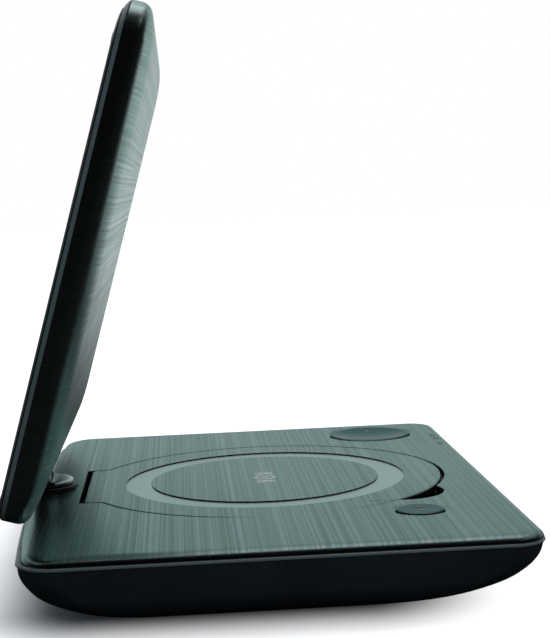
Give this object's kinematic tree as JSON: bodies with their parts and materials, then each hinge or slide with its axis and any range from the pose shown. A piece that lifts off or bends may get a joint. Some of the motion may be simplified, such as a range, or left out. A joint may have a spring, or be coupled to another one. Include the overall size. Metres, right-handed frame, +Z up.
{
  "type": "portable dvd player",
  "caption": "Clamshell portable disc player with a swivelling, tilting screen lid, a round disc door and a hull-shaped base.",
  "frame": {"origin": "on the table under the middle of the outer box, with the screen lid as stored", "axes": "+X toward the user's right along the long side, +Y toward the hinge, +Z up"},
  "size_m": [0.241, 0.1938, 0.2072],
  "materials": {
    "cover_brushed": "teal-grey brushed lacquer with a fine straight grain, satin sheen",
    "shell_black": "near-black polished ABS with a soft gloss",
    "satin_black": "black satin ABS",
    "rubber": "black moulded rubber, matt",
    "steel": "bright turned steel",
    "zinc": "zinc-plated sheet steel and cast zinc",
    "pcb": "green solder-mask board",
    "foil": "shrink film around flat cells",
    "light_pipe": "clear-white diffusing plastic",
    "lens": "coated optical plastic",
    "lcd_module": "display panel: dark glass stack in a thin frame",
    "screen": "black display window, very smooth"
  },
  "bodies": {
    "base": {"base_lower_shell": "shell_black", "base_top_cover": "cover_brushed", "foot_rear_right": "rubber", "foot_rear_left": "rubber", "foot_front_right": "rubber", "foot_front_left": "rubber", "base_screw_front_right": "steel", "base_screw_front_left": "steel", "base_screw_rear_right": "steel", "base_screw_rear_left": "steel", "battery_pack": "foil", "main_pcb": "pcb", "dc_jack": "satin_black", "av_jack": "satin_black", "headphone_jack": "satin_black", "usb_port": "zinc", "card_slot": "zinc", "drive_deck": "zinc", "deck_damper_right": "rubber", "deck_damper_left": "rubber", "deck_damper_rear": "rubber", "spindle_motor": "zinc", "guide_rod_right": "steel", "guide_rod_left": "steel", "sled_motor": "zinc", "door_pin": "steel", "dpad_rubber_dome": "rubber", "play_rubber_dome": "rubber", "dpad_switch_board": "pcb", "play_switch_board": "pcb", "light_pipe_1": "light_pipe", "light_pipe_2": "light_pipe", "light_pipe_3": "light_pipe"},
    "door": {"disc_door": "cover_brushed"},
    "hub": {"disc_hub": "satin_black", "spindle_shaft": "steel"},
    "sled": {"pickup_sled": "satin_black", "objective_lens": "lens"},
    "screw": {"lead_screw": "steel"},
    "dpad": {"dpad_key": "satin_black"},
    "play": {"play_key": "cover_brushed"},
    "slider": {"power_slider": "satin_black"},
    "swivel": {"turntable": "satin_black", "swivel_retainer": "steel", "hinge_tower": "zinc", "hinge_pin": "steel"},
    "lid": {"lid_back_shell": "cover_brushed", "lid_bezel": "satin_black", "lid_bumper_top_right": "rubber", "lid_bumper_top_left": "rubber", "lid_bumper_low_right": "rubber", "lid_bumper_low_left": "rubber", "screen_window": "screen", "lcd_panel": "lcd_module", "lid_pcb": "pcb", "speaker_right": "satin_black", "speaker_left": "satin_black", "hinge_bracket_right": "steel", "hinge_bracket_left": "steel"}
  },
  "joints": [
    {"name": "swivel_turn", "type": "hinge", "parent": "base", "child": "swivel", "pos_m": [0, 0.07985, 0.0285], "axis": [0, 0, 1], "range_deg": [-180, 0]},
    {"name": "lid_tilt", "type": "hinge", "parent": "swivel", "child": "lid", "pos_m": [0, 0.07985, 0.03605], "axis": [-1, 0, 0], "range_deg": [-73.6, 106.4]},
    {"name": "door_open", "type": "hinge", "parent": "base", "child": "door", "pos_m": [0, 0.06035, 0.0262], "axis": [-1, 0, 0], "range_deg": [0, 55]},
    {"name": "hub_spin", "type": "hinge", "parent": "base", "child": "hub", "pos_m": [0, -0.00895, 0.0195], "axis": [0, 0, 1], "continuous": true},
    {"name": "sled_travel", "type": "slide", "parent": "base", "child": "sled", "axis": [0, 1, 0], "range_m": [0, 0.031]},
    {"name": "screw_turn", "type": "hinge", "parent": "base", "child": "screw", "pos_m": [-0.025, 0.03105, 0.0117], "axis": [0, 1, 0], "range_deg": [0, 3720]},
    {"name": "dpad_press", "type": "slide", "parent": "base", "child": "dpad", "axis": [0, 0, -1], "range_m": [0, 0.0005], "stiffness_N_per_m": 2000},
    {"name": "play_press", "type": "slide", "parent": "base", "child": "play", "axis": [0, 0, -1], "range_m": [0, 0.0005], "stiffness_N_per_m": 2000},
    {"name": "power_slide", "type": "slide", "parent": "base", "child": "slider", "axis": [0, 1, 0], "range_m": [0, 0.011]}
  ],
  "couplings": [
    {"joint": "screw_turn", "follows": "sled_travel", "rad_per_m": 2094.4}
  ]
}
